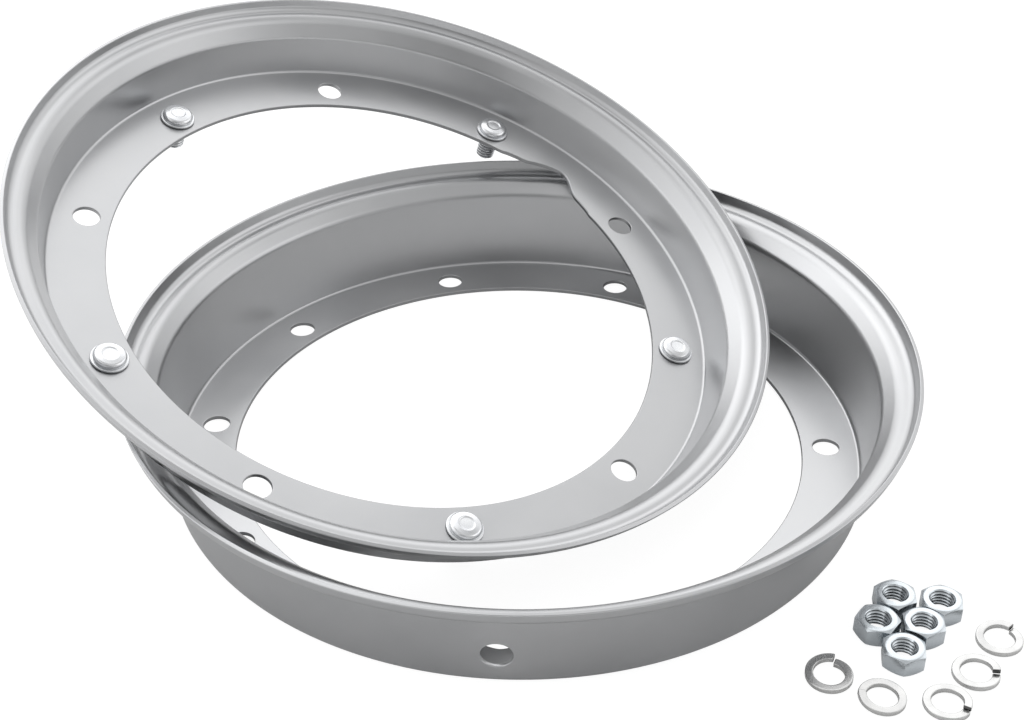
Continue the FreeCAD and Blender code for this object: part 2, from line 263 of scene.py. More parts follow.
def turned(outline: np.ndarray, angles: np.ndarray) -> np.ndarray:
    """Turns a line of radius and height round Z: (r cos a, r sin a, z) for each row and angle.

    Args:
        outline: Rows of radius and height, or rows by angles by two where it changes on the way.
        angles: The angles in radians.

    Returns:
        Rows by angles by three.
    """
    wide = outline if outline.ndim == 3 else outline[:, None, :]
    return joined(wide[..., 0] * np.cos(angles), wide[..., 0] * np.sin(angles), wide[..., 1])


def smooth_step(x: np.ndarray) -> np.ndarray:
    """0 below 0, 1 above 1, and 3x^2 - 2x^3 between."""
    t = np.clip(x, 0.0, 1.0)
    return t * t * (3 - 2 * t)


@dataclass(frozen=True)
class ScrewThread:
    """A 60 degree thread with rounded roots and crests."""

    pitch: float = 1.25
    depth: float = 0.62

    def cut(self, angle: np.ndarray, height: np.ndarray) -> np.ndarray:
        """How deep the thread is at an angle and a height.

        The height in pitches, less the share of a turn, gives a saw from 0 to 1. Folded to a
        triangle, 1 at the root and 0 at the crest, it is flattened a little at both ends.

        Args:
            angle: In radians.
            height: Along the axis.

        Returns:
            The depth at each place that angle and height give together.
        """
        saw = np.mod(height / self.pitch - angle / TURN, 1.0)
        fold = 1.0 - np.abs(2.0 * saw - 1.0)
        return self.depth * smooth_step(1.18 * fold - 0.09)


@dataclass(frozen=True)
class Rest:
    """Where a piece of the leaning half goes: turned about X, then about Y, then moved."""

    turn_x_deg: float = 11.230
    turn_y_deg: float = 16.072
    centre: tuple[float, float, float] = (-48.681, 35.760, 42.208)

    def matrix(self) -> np.ndarray:
        """The turn as three rows: Ry times Rx."""
        a, b = math.radians(self.turn_x_deg), math.radians(self.turn_y_deg)
        ca, sa, cb, sb = math.cos(a), math.sin(a), math.cos(b), math.sin(b)
        about_x = np.array([[1, 0, 0], [0, ca, -sa], [0, sa, ca]])
        about_y = np.array([[cb, 0, sb], [0, 1, 0], [-sb, 0, cb]])
        return about_y @ about_x

    def place(self, points: np.ndarray) -> np.ndarray:
        """Points of the leaning half, in the wheel's frame."""
        return points @ self.matrix().T + np.array(self.centre)


# ---------------------------------------------------------------------------------------------
# Finishes
# ---------------------------------------------------------------------------------------------


class Slot(Enum):
    """Material slots of the record."""

    RIM_PAINT = "rim_paint"
    STUD_ZINC = "stud_zinc"
    NUT_ZINC = "nut_zinc"
    WASHER_STEEL = "washer_steel"


# Painted shade: where a piece's shade attribute passes SHADE_START, its colour goes towards
# NEAR_BLACK.
SHADE_START = 0.15
NEAR_BLACK = (0.02, 0.021, 0.023, 1.0)


class NodeBench:
    """Adds and joins the nodes of one material or world."""

    def __init__(self, tree: bpy.types.NodeTree) -> None:
        """Clears the tree and keeps it."""
        tree.nodes.clear()
        self.tree = tree

    def feed(self, target: bpy.types.NodeSocket, value: object) -> None:
        """Links a socket, or sets a number or colour."""
        if isinstance(value, bpy.types.NodeSocket):
            self.tree.links.new(value, target)
        else:
            target.default_value = value

    def node(
        self, kind: str, inputs: dict[str | int, object], **settings: object
    ) -> bpy.types.bpy_prop_collection:
        """Adds a node.

        Args:
            kind: Its type.
            inputs: Numbers, colours or sockets for its inputs, by name or number.
            settings: Its own properties.

        Returns:
            Its outputs.
        """
        made = self.tree.nodes.new(kind)
        for key, value in settings.items():
            setattr(made, key, value)
        for key, value in inputs.items():
            self.feed(made.inputs[key], value)
        return made.outputs

    def math(self, operation: str, *values: object) -> bpy.types.NodeSocket:
        """A Math node of one operation on sockets or numbers."""
        return self.node("ShaderNodeMath", dict(enumerate(values)), operation=operation)[0]

    def spread(
        self, value: object, low: float, high: float, to_low: float, to_high: object
    ) -> bpy.types.NodeSocket:
        """Maps a number smoothly from one range to another.

        Args:
            value: The socket that is mapped.
            low: Where the change starts.
            high: Where it ends.
            to_low: What it is before.
            to_high: What it is after, a number or a socket.

        Returns:
            The mapped socket.
        """
        ends = dict(enumerate((value, low, high, to_low, to_high)))
        return self.node("ShaderNodeMapRange", ends, interpolation_type="SMOOTHSTEP")["Result"]

    def colours(self, value: object, stops: Sequence[tuple[float, Colour]]) -> bpy.types.NodeSocket:
        """A colour ramp between two stops.

        Args:
            value: The number that is coloured.
            stops: Position and colour of its two ends.

        Returns:
            The colour.
        """
        made = self.tree.nodes.new("ShaderNodeValToRGB")
        for element, (position, colour) in zip(made.color_ramp.elements, stops):
            element.position, element.color = position, (*colour, 1.0)
        self.feed(made.inputs[0], value)
        return made.outputs[0]

    def darkened(self, tint: bpy.types.NodeSocket, most: float) -> bpy.types.NodeSocket:
        """A colour that turns nearly black where the piece's shade attribute says so, which paints
        shade into it; on the washers it darkens the cut ends.

        Args:
            tint: The colour without shade.
            most: Share of black at a shade of 1.

        Returns:
            The shaded colour.
        """
        shade = self.node("ShaderNodeAttribute", {}, attribute_name="shade")["Fac"]
        share = self.spread(shade, SHADE_START, 1.0, 0.0, most)
        return self.node("ShaderNodeMix", {0: share, 6: tint, 7: NEAR_BLACK}, data_type="RGBA")[2]

    def noise(
        self, place: object, scale: float, detail: float, roughness: float = 0.5
    ) -> bpy.types.NodeSocket:
        """Noise from 0 to 1 at a number of waves a metre."""
        inputs = {"Vector": place, "Scale": scale, "Detail": detail, "Roughness": roughness}
        return self.node("ShaderNodeTexNoise", inputs)[0]

    def object_place(self) -> bpy.types.NodeSocket:
        """The place on the piece in metres, in the wheel's frame."""
        return self.node("ShaderNodeTexCoord", {})["Object"]

    def bump(
        self, height: object, strength: float, distance: float, **under: object
    ) -> bpy.types.NodeSocket:
        """A bump of a height, over another bump where Normal gives one."""
        inputs = {"Strength": strength, "Distance": distance, "Height": height, **under}
        return self.node("ShaderNodeBump", inputs)[0]

    def mixed(self, share: object, first: object, second: object) -> bpy.types.NodeSocket:
        """Two shaders mixed: the first where the share is 0, the second where it is 1."""
        return self.node("ShaderNodeMixShader", {0: share, 1: first, 2: second})[0]

    def white_light(self, kind: str, strength: object) -> bpy.types.NodeSocket:
        """A white Emission or Background node of some strength."""
        return self.node(kind, {"Color": (1.0, 1.0, 1.0, 1.0), "Strength": strength})[0]

    def show(self, kind: str, shader: bpy.types.NodeSocket) -> None:
        """Joins a shader to a new output node's surface."""
        self.node(kind, {"Surface": shader})


def new_material(name: str) -> tuple[bpy.types.Material, NodeBench]:
    """An empty node material and the bench for its nodes."""
    made = bpy.data.materials.new(name)
    made.use_nodes = True
    return made, NodeBench(made.node_tree)


@dataclass(frozen=True)
class SatinPaint:
    """Silver paint on pressed steel: metal flake under a satin skin with a fine orange peel."""

    name: str = "rim_silver_paint"
    tint: Colour = (0.446, 0.451, 0.460)
    thin_tint: Colour = (0.488, 0.492, 0.500)
    metallic: float = 0.92
    sheen_rough: float = 0.32
    coat: float = 0.12
    coat_rough: float = 0.18
    # Share of black on punched edges: painted shade
    painted_edge_shade: float = 0.38
    rough_spread: float = 0.03
    cloud_waves: float = 26.0
    peel_waves: float = 420.0
    # Strength and distance of each bump
    peel_bump: tuple[float, float] = (0.10, 0.00012)
    flake_waves: float = 5200.0
    flake_bump: tuple[float, float] = (0.08, 0.00002)
    flake_share: float = 0.2

    def material(self) -> bpy.types.Material:
        """Builds the material.

        Returns:
            Colour from slow clouds of thicker and thinner paint and a fine flake, with painted
            shade on punched edges, roughness from the same clouds, and bump from the orange peel
            with the flake.
        """
        made, bench = new_material(self.name)
        place = bench.object_place()
        clouds = bench.noise(place, self.cloud_waves, detail=3.0)
        flake = bench.noise(place, self.flake_waves, detail=1.0)
        peel = bench.noise(place, self.peel_waves, detail=2.0, roughness=0.4)
        thick = bench.math("MULTIPLY", clouds, 1.0 - self.flake_share)
        mottled = bench.math("ADD", thick, bench.math("MULTIPLY", flake, self.flake_share))
        tint = bench.colours(mottled, [(0.36, self.tint), (0.64, self.thin_tint)])
        low, high = self.sheen_rough - self.rough_spread, self.sheen_rough + self.rough_spread
        peeled = bench.bump(peel, *self.peel_bump)
        bench.show("ShaderNodeOutputMaterial", bench.node("ShaderNodeBsdfPrincipled", {
            "Base Color": bench.darkened(tint, self.painted_edge_shade),
            "Metallic": self.metallic,
            "Roughness": bench.spread(clouds, 0.3, 0.7, low, high),
            "Coat Weight": self.coat,
            "Coat Roughness": self.coat_rough,
            "Normal": bench.bump(flake, *self.flake_bump, Normal=peeled),
        })[0])
        return made


@dataclass(frozen=True)
class BrightMetal:
    """Plated or bare bright steel with fine marks from handling."""

    name: str
    tint: Colour
    dull_tint: Colour
    rough: float
    rough_spread: float
    grain_waves: float
    grain_bump: tuple[float, float]
    cloud_waves: float = 210.0
    metallic: float = 1.0
    # Share of black where the shade attribute is 1: painted shade in thread roots and under the
    # studs' collars, and the washers' darkened cut ends
    root_shade: float = 0.75

    def material(self) -> bpy.types.Material:
        """Builds the material.

        Returns:
            Colour between the bright and the dull tint by slow clouds, with painted shade in a
            thread's root and under a stud's collar and darkened washer ends, roughness from clouds
            and grain, and bump from the grain.
        """
        made, bench = new_material(self.name)
        place = bench.object_place()
        clouds = bench.noise(place, self.cloud_waves, detail=3.0)
        grain = bench.noise(place, self.grain_waves, detail=3.0, roughness=0.6)
        tint = bench.colours(clouds, [(0.38, self.tint), (0.68, self.dull_tint)])
        mixed = bench.math("MULTIPLY", bench.math("ADD", clouds, grain), 0.5)
        low, high = self.rough - self.rough_spread, self.rough + self.rough_spread
        bench.show("ShaderNodeOutputMaterial", bench.node("ShaderNodeBsdfPrincipled", {
            "Base Color": bench.darkened(tint, self.root_shade),
            "Metallic": self.metallic,
            "Roughness": bench.spread(mixed, 0.35, 0.65, low, high),
            "Normal": bench.bump(grain, *self.grain_bump),
        })[0])
        return made


def hand_over(obj: bpy.types.Object, material: bpy.types.Material, node: str) -> None:
    """Dresses a piece, lets it stand for a CAD node and ride with the wheel.

    Args:
        obj: The piece.
        material: Its one material.
        node: The CAD node that it replaces.
    """
    obj.data.materials.clear()
    obj.data.materials.append(material)
    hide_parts(node)
    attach(obj, "root")
    LOG.info("%s: %d faces, for %s", obj.name, len(obj.data.polygons), node)


# ---------------------------------------------------------------------------------------------
# Rim halves
# ---------------------------------------------------------------------------------------------


@dataclass(frozen=True)
class BentSheet:
    """Section of a pressed half: a sheet of even thickness bent from its opening to its lip."""

    depth: float
    wall_rows: Sequence[float] = (0.5,)
    thickness: float = 1.5
    opening_r: float = 103.0
    corner_r: float = 124.4
    corner_bend: float = 1.9
    seat_r: float = 127.95
    seat_bend: float = 3.0
    shoulder_width: float = 5.0
    shoulder_rise: float = 5.7
    shoulder_bend: float = 4.6
    flange_width: float = 5.25
    lip_bend: float = 3.5
    lip_flare: float = 1.7
    lip_height: float = 4.5
    end_round: float = 0.35
    bend_steps: int = 8
    end_steps: int = 3
    plate_rows: Sequence[float] = tuple(np.linspace(105.4, 118.6, 13))

    def corners(self) -> np.ndarray:
        """The corners of the sheet's middle line.

        Returns:
            Radius, height and bend of each, from the opening to the lip's end.
        """
        flange = self.depth - self.lip_height
        inner = self.seat_r + self.shoulder_width
        outer = inner + self.flange_width
        middle = self.thickness / 2
        return np.array([
            (self.opening_r, middle, 0.0),
            (self.corner_r, middle, self.corner_bend),
            (self.seat_r, flange - self.shoulder_rise, self.seat_bend),
            (inner, flange, self.shoulder_bend),
            (outer, flange, self.lip_bend),
            (outer + self.lip_flare, self.depth, 0.0),
        ])

    def face(self, side: int) -> tuple[np.ndarray, np.ndarray]:
        """One face of the sheet, row by row from the opening to the lip.

        Each bend is the end of the run before it, turned about the bend's centre in even steps.

        Args:
            side: 1 for the face that the hub side shows, -1 for the other.

        Returns:
            Radius and height of each row, and the outward normal in the same plane.
        """
        path = self.corners()
        spots = path[:, :2]
        along = np.diff(spots, axis=0)
        along /= np.linalg.norm(along, axis=1)[:, None]
        out = np.stack([-along[:, 1], along[:, 0]], axis=1)
        offset = side * self.thickness / 2
        here = spots[0] + out[0] * offset + along[0] * self.end_round
        lines, normals = [here[None]], [side * out[:1]]
        for i in range(1, len(path) - 1):
            turn = math.atan2(np.cross(along[i - 1], along[i]), along[i - 1] @ along[i])
            bend = math.copysign(path[i, 2], turn)
            start = spots[i] - along[i - 1] * abs(bend * math.tan(turn / 2))
            centre = start + out[i - 1] * bend
            stop = start + out[i - 1] * offset
            shares = self.shares(i, here, stop)[:, None]
            lines.append(here + (stop - here) * shares)
            normals.append(np.repeat(side * out[i - 1 : i], len(shares), axis=0))
            a = turn * np.linspace(0.0, 1.0, self.bend_steps + 1)
            lines.append(centre + spun(stop - centre, a))
            normals.append(spun(side * out[i - 1], a))
            here = lines[-1][-1]
        lines.append((spots[-1] + out[-1] * offset - along[-1] * self.end_round)[None])
        normals.append(side * out[-1:])
        return np.concatenate(lines), np.concatenate(normals)

    def shares(self, corner: int, start: np.ndarray, stop: np.ndarray) -> np.ndarray:
        """Where rows lie on a straight run: by radius on the plate, by share on the wall.

        Args:
            corner: Number of the corner at the run's end.
            start: The run's first point.
            stop: Its last point.

        Returns:
            Shares of the way from start to stop, none on the other runs.
        """
        if corner == 1:
            return (np.array(self.plate_rows) - start[0]) / (stop[0] - start[0])
        if corner == 2:
            return np.array(self.wall_rows)
        return np.zeros(0)

    def quarter(
        self, centre: np.ndarray, from_normal: np.ndarray, to_normal: np.ndarray
    ) -> tuple[np.ndarray, np.ndarray]:
        """A quarter round of the sheet's end.

        Args:
            centre: The round's centre.
            from_normal: Normal where it starts.
            to_normal: Normal where it ends.

        Returns:
            Rows and normals, from the first normal to the second, both ends included.
        """
        a = np.linspace(0.0, math.pi / 2, self.end_steps + 1)[:, None]
        normal = np.cos(a) * from_normal + np.sin(a) * to_normal
        return centre + self.end_round * normal, normal


@dataclass(frozen=True)
class Relief:
    """Valve relief in the opening's edge, with a rolled upper arris."""

    middle_deg: float
    edge: Sequence[tuple[float, float]]
    top_round: float = 0.6
    low_round: float = 0.12
    fade_step: float = 0.6

    def steps_at(self, degrees: np.ndarray) -> np.ndarray:
        """How far the edge steps out past the opening at some angles.

        The outline's points are joined by cubic runs whose slopes are those between each point's
        two neighbours; outside them, and where it falls inside the opening, the step is 0.

        Args:
            degrees: The angles.

        Returns:
            The step at each.
        """
        turns, steps = np.array(self.edge).T
        slopes = np.gradient(steps, turns)
        off = np.mod(degrees - self.middle_deg + 180.0, 360.0) - 180.0
        k = np.clip(np.searchsorted(turns, off) - 1, 0, len(turns) - 2)
        width = turns[k + 1] - turns[k]
        t = np.clip((off - turns[k]) / width, 0.0, 1.0)
        start = (2 * t**3 - 3 * t**2 + 1) * steps[k] + (t**3 - 2 * t**2 + t) * width * slopes[k]
        end = (3 * t**2 - 2 * t**3) * steps[k + 1] + (t**3 - t**2) * width * slopes[k + 1]
        inside = (off > turns[0]) & (off < turns[-1])
        return np.where(inside, np.maximum(start + end, 0.0), 0.0)


@dataclass
class RimHalf:
    """One pressed half: the turned sheet with its bolt holes, valve relief and valve hole."""

    node: str
    name: str
    sheet: BentSheet
    first_hole_deg: float
    hole_radii: Sequence[float]
    relief: Relief
    rest: Optional[Rest] = None
    valve_deg: float = 0.0
    valve_z: float = 0.0
    valve_r: float = 0.0
    hole_circle_r: float = 112.0
    hole_round: float = 0.25
    valve_round: float = 0.45
    ring_width: float = 0.5
    arc_rows: int = 4
    columns: int = 600
    reach_columns: int = 6
    crease_deg: float = 180.0

    def angles(self) -> np.ndarray:
        """Angles of the columns, the first through the middle of the first hole."""
        return math.radians(self.first_hole_deg) + TURN / self.columns * np.arange(self.columns)

    def shell(self, surface: SurfaceMesh, skip: np.ndarray) -> np.ndarray:
        """Adds the turned sheet.

        Plate rows are drawn towards the bend where the relief widens the opening: with B the
        bend's radius, e the edge and p its rounding, r becomes
        B - (B - r)(B - e - p)/(B - e0 - p0), where e0 and p0 are those of the plain opening.
        The normal leans against the edge's slope, by -n_r (dr/da) / r along the turn.

        Args:
            surface: The mesh that takes it.
            skip: Cells left out for the windows.

        Returns:
            Its points' numbers, rows by columns.
        """
        sheet, relief, angles = self.sheet, self.relief, self.angles()
        step = relief.steps_at(np.degrees(angles))
        deep = smooth_step(step / relief.fade_step)
        top_round = sheet.end_round + deep * (relief.top_round - sheet.end_round)
        low_round = sheet.end_round + deep * (relief.low_round - sheet.end_round)
        edge = sheet.opening_r + step
        upper, upper_normal = sheet.face(1)
        lower, lower_normal = sheet.face(-1)
        ahead, across = self.lip_frame(upper, lower)
        first, first_normal = sheet.quarter(upper[-1] - across * sheet.end_round, across, ahead)
        last, last_normal = sheet.quarter(lower[-1] + across * sheet.end_round, ahead, -across)
        lines = [self.drawn(upper, edge, top_round)]
        lines += [self.wide(line) for line in (first[1:], last[:-1])]
        lines.append(self.drawn(lower, edge, low_round)[::-1])
        a = np.linspace(0.0, math.pi / 2, sheet.end_steps + 1)[:, None]
        c, s = np.cos(a), np.sin(a)
        lines.append(joined(edge + low_round * (1 - s), low_round * (1 - c))[1:])
        lines.append(joined(edge + top_round * (1 - c), sheet.thickness - top_round * (1 - s))[:-1])
        low_normal, top_normal = np.hstack([-s, -c])[1:], np.hstack([-c, s])[:-1]
        lip_normal = np.concatenate([first_normal[1:], last_normal[:-1]])
        normal = np.concatenate([
            upper_normal, lip_normal, lower_normal[::-1], low_normal, top_normal
        ])
        outline = np.concatenate(lines)
        r, z = outline[..., 0], outline[..., 1]
        slope = np.gradient(r, angles, axis=1)
        slope[:, [0, -1]] = 0.0
        n_r, n_z = normal[:, :1], normal[:, 1:]
        n_a = -n_r * slope / r
        c, s = np.cos(angles), np.sin(angles)
        normals = joined(n_r * c - n_a * s, n_r * s + n_a * c, n_z)
        points = joined(r * c, r * s, z)
        # Painted shade on the opening's rounded edge: its last rows are darkened
        shade = np.zeros((len(r), 1))
        shade[len(r) - 2 * sheet.end_steps :] = 1.0
        return surface.grid(points, normals, round_rows=True, skip=skip, shade=shade)

    def lip_frame(self, upper: np.ndarray, lower: np.ndarray) -> tuple[np.ndarray, np.ndarray]:
        """The lip's own direction and the one across it, to the upper face."""
        across = (upper[-1] - lower[-1]) / np.linalg.norm(upper[-1] - lower[-1])
        return np.array([across[1], -across[0]]), across

    def wide(self, line: np.ndarray) -> np.ndarray:
        """Rows of the section repeated for every column."""
        return np.repeat(line[:, None, :], self.columns, axis=1)

    def drawn(self, line: np.ndarray, edge: np.ndarray, rounding: np.ndarray) -> np.ndarray:
        """One face for every column, with the plate's rows drawn towards the bend.

        Args:
            line: Rows of the plain face.
            edge: Radius of the opening's edge at each column.
            rounding: Radius of its arris there.

        Returns:
            Rows by columns by radius and height.
        """
        rows = self.wide(line)
        plate = len(self.sheet.plate_rows) + 2
        bend = line[plate - 1, 0]
        share = (bend - edge - rounding) / (bend - self.sheet.opening_r - self.sheet.end_round)
        rows[:plate, :, 0] = bend - (bend - rows[:plate, :, 0]) * share
        return rows

    def face_rows(self) -> int:
        """Rows on each face of the sheet."""
        return len(self.sheet.face(1)[0])

    def under(self, rows: np.ndarray) -> np.ndarray:
        """The section's rows on the lower face that lie under rows of the upper one."""
        return 2 * (self.face_rows() + self.sheet.end_steps) - 1 - rows

    def around(self, middle: int, count: int) -> np.ndarray:
        """Columns from reach_columns before a hole's middle on, a number of them."""
        return (middle - self.reach_columns + np.arange(count)) % self.columns

    def loop(
        self, numbers: np.ndarray, face: int, rows: tuple[int, int], middle: int
    ) -> np.ndarray:
        """Points round the window in one face that a hole is set into.

        Args:
            numbers: The shell's point numbers.
            face: 1 for the upper face, -1 for the lower one.
            rows: First and last row of the window, counted from the opening.
            middle: Column through the hole's middle.

        Returns:
            Numbers out along the first row, up the last column, back and down.
        """
        up = np.arange(rows[0], rows[1] + 1)
        columns = self.around(middle, 2 * self.reach_columns + 1)
        block = numbers[np.ix_(up if face == 1 else self.under(up), columns)]
        return np.concatenate([block[0, :-1], block[:-1, -1], block[-1, :0:-1], block[:0:-1, 0]])

    def wall_window(self) -> tuple[int, int]:
        """First and last row of the window in the wall."""
        first = len(self.sheet.plate_rows) + self.sheet.bend_steps + 2
        return first, first + len(self.sheet.wall_rows) - 1

    def windows(self) -> list[tuple[tuple[int, int], int]]:
        """The windows that holes are set into: the bolt holes' first, then the valve hole's.

        Returns:
            First and last row, and middle column, of each.
        """
        plate = (1, len(self.sheet.plate_rows))
        step = self.columns // len(self.hole_radii)
        found = [(plate, i * step) for i in range(len(self.hole_radii))]
        if self.valve_r:
            turn = (self.valve_deg - self.first_hole_deg) / 360.0 * self.columns
            found.append((self.wall_window(), int(round(turn)) % self.columns))
        return found

    def skipped(self) -> np.ndarray:
        """Which cells of the shell are left out for the windows.

        Returns:
            True where a cell is left out, rows by columns of the whole section.
        """
        skip = np.zeros((2 * self.face_rows() + 4 * self.sheet.end_steps, self.columns), bool)
        for (a, b), middle in self.windows():
            columns = self.around(middle, 2 * self.reach_columns)
            skip[np.ix_(np.arange(a, b), columns)] = True
            skip[np.ix_(self.under(np.arange(a + 1, b + 1)), columns)] = True
        return skip

    def hole(
        self,
        surface: SurfaceMesh,
        upper: np.ndarray,
        lower: np.ndarray,
        angle: float,
        radius: float,
    ) -> None:
        """Sets a bolt hole between its two windows: rings across the plate, round arris and wall.

        Every ring is (radius + out)(cos f, sin f) about the hole's middle, where f is the
        direction of the window's own point, so that the cells run straight out.

        Args:
            surface: The mesh that takes the rings.
            upper: Numbers round the upper face's window.
            lower: Numbers round the lower face's window.
            angle: The hole's place round the wheel.
            radius: Its radius.
        """
        middle = self.hole_circle_r * np.array([math.cos(angle), math.sin(angle)])
        away = surface.at(upper)[:, :2] - middle
        f = np.arctan2(away[:, 1], away[:, 0])
        t, p = self.sheet.thickness, self.hole_round
        ring = [p + self.ring_width]
        a = np.linspace(0.0, math.pi / 2, self.arc_rows)
        c, s = np.cos(a), np.sin(a)
        r = (radius + np.concatenate([ring, p * (1 - s), p * (1 - c), ring]))[:, None]
        z = np.concatenate([[t], t - p * (1 - c), p * (1 - s), [0.0]])[:, None]
        n_out = np.concatenate([[0.0], -s, -c, [0.0]])[:, None]
        n_z = np.concatenate([[1.0], c, -s, [-1.0]])[:, None]
        c, s = np.cos(f), np.sin(f)
        points = joined(middle[0] + r * c, middle[1] + r * s, z)
        normals = joined(n_out * c, n_out * s, n_z)
        # The shade n_out squared paints shade on the hole's wall, darkest where the wall stands
        # upright
        surface.between(upper, surface.add_points(points, normals, n_out**2), lower)

    def valve_hole(self, surface: SurfaceMesh, upper: np.ndarray, lower: np.ndarray) -> None:
        """Sets the valve hole through the wall, drilled level and straight out.

        A ring's point lies y across and h up, on the wall's cone of radius R(h) where
        x = sqrt(R(h)^2 - y^2) outwards; the wall's two faces give the ends of the bore.

        Args:
            surface: The mesh that takes the rings.
            upper: Numbers round the upper face's window.
            lower: Numbers round the lower face's window.
        """
        a = math.radians(self.valve_deg)
        outward = np.array([math.cos(a), math.sin(a), 0.0])
        across = np.array([-math.sin(a), math.cos(a), 0.0])
        up = np.array([0.0, 0.0, 1.0])
        spots = surface.at(upper)
        f = np.arctan2(spots[:, 2] - self.valve_z, spots @ across)
        first, last = self.wall_window()
        p = self.valve_round
        b = np.linspace(0.0, math.pi / 2, self.arc_rows)
        outs = np.concatenate([[p + self.ring_width], p * (1 - np.sin(b))])
        insets = np.concatenate([[0.0], p * (1 - np.cos(b))])
        turns = np.concatenate([[0.0], np.sin(b)])
        inward = -(np.cos(f)[:, None] * across + np.sin(f)[:, None] * up)
        rings, normals = [], []
        for side in (1, -1):
            line, normal = self.sheet.face(side)
            (r0, z0), (r1, z1) = line[first], line[last]
            n_r, n_z = normal[first]
            for out, inset, turn in list(zip(outs, insets, turns))[::side]:
                y = (self.valve_r + out) * np.cos(f)
                h = self.valve_z + (self.valve_r + out) * np.sin(f)
                r = r0 + (r1 - r0) * (h - z0) / (z1 - z0)
                x = np.sqrt(r * r - y * y) + side * inset
                level = x[:, None] * outward + y[:, None] * across
                rings.append(level + h[:, None] * up)
                face_normal = n_r * (level / r[:, None]) + n_z * up
                normals.append(math.sqrt(max(1 - turn * turn, 0.0)) * face_normal + turn * inward)
        surface.between(upper, surface.add_points(np.stack(rings), np.stack(normals)), lower)

    def build(self, paint: bpy.types.Material) -> None:
        """Makes, dresses and hands over the half."""
        surface = SurfaceMesh()
        numbers = self.shell(surface, self.skipped())
        loops = [
            [self.loop(numbers, face, rows, column) for face in (1, -1)]
            for rows, column in self.windows()
        ]
        for i, radius in enumerate(self.hole_radii):
            angle = self.angles()[self.windows()[i][1]]
            self.hole(surface, *loops[i], angle, radius)
        if self.valve_r:
            self.valve_hole(surface, *loops[-1])
        if self.rest is not None:
            surface.move(self.rest.matrix(), self.rest.centre)
        obj = surface.build(self.name, self.crease_deg)
        hand_over(obj, paint, self.node)


# Turn in degrees from the relief's middle, and step out past the opening. The deep half has
# its mirror image.
RELIEF_EDGE = (
    (-14.5, -2.0), (-12.4, 0.2), (-9.2, 1.3), (-6.6, 2.1), (-4.9, 3.6), (-3.1, 6.0), (-1.5, 8.0),
    (0.0, 8.7), (1.8, 7.9), (3.8, 6.4), (5.7, 4.5), (7.5, 2.5), (10.3, 1.5), (13.2, 0.2),
    (15.3, -2.0),
)

RIM_HALVES = (
    RimHalf(
        node="wide_rim_half",
        name="wide_half_pressed",
        sheet=BentSheet(
            depth=41.94, shoulder_rise=4.8, lip_height=5.4,
            wall_rows=tuple(np.linspace(0.115, 0.575, 9)),
        ),
        first_hole_deg=-2.81,
        hole_radii=(4.85,) * 10,
        relief=Relief(-92.81, tuple((-turn, step) for turn, step in reversed(RELIEF_EDGE))),
        valve_deg=-92.81,
        valve_z=12.5,
        valve_r=5.1,
    ),
    RimHalf(
        node="narrow_rim_half",
        name="narrow_half_pressed",
        sheet=BentSheet(depth=26.0),
        first_hole_deg=109.727,
        hole_radii=(4.85, 4.25) * 5,
        relief=Relief(55.727, RELIEF_EDGE),
        rest=Rest(),
    ),
)


# ---------------------------------------------------------------------------------------------
# Studs
# ---------------------------------------------------------------------------------------------


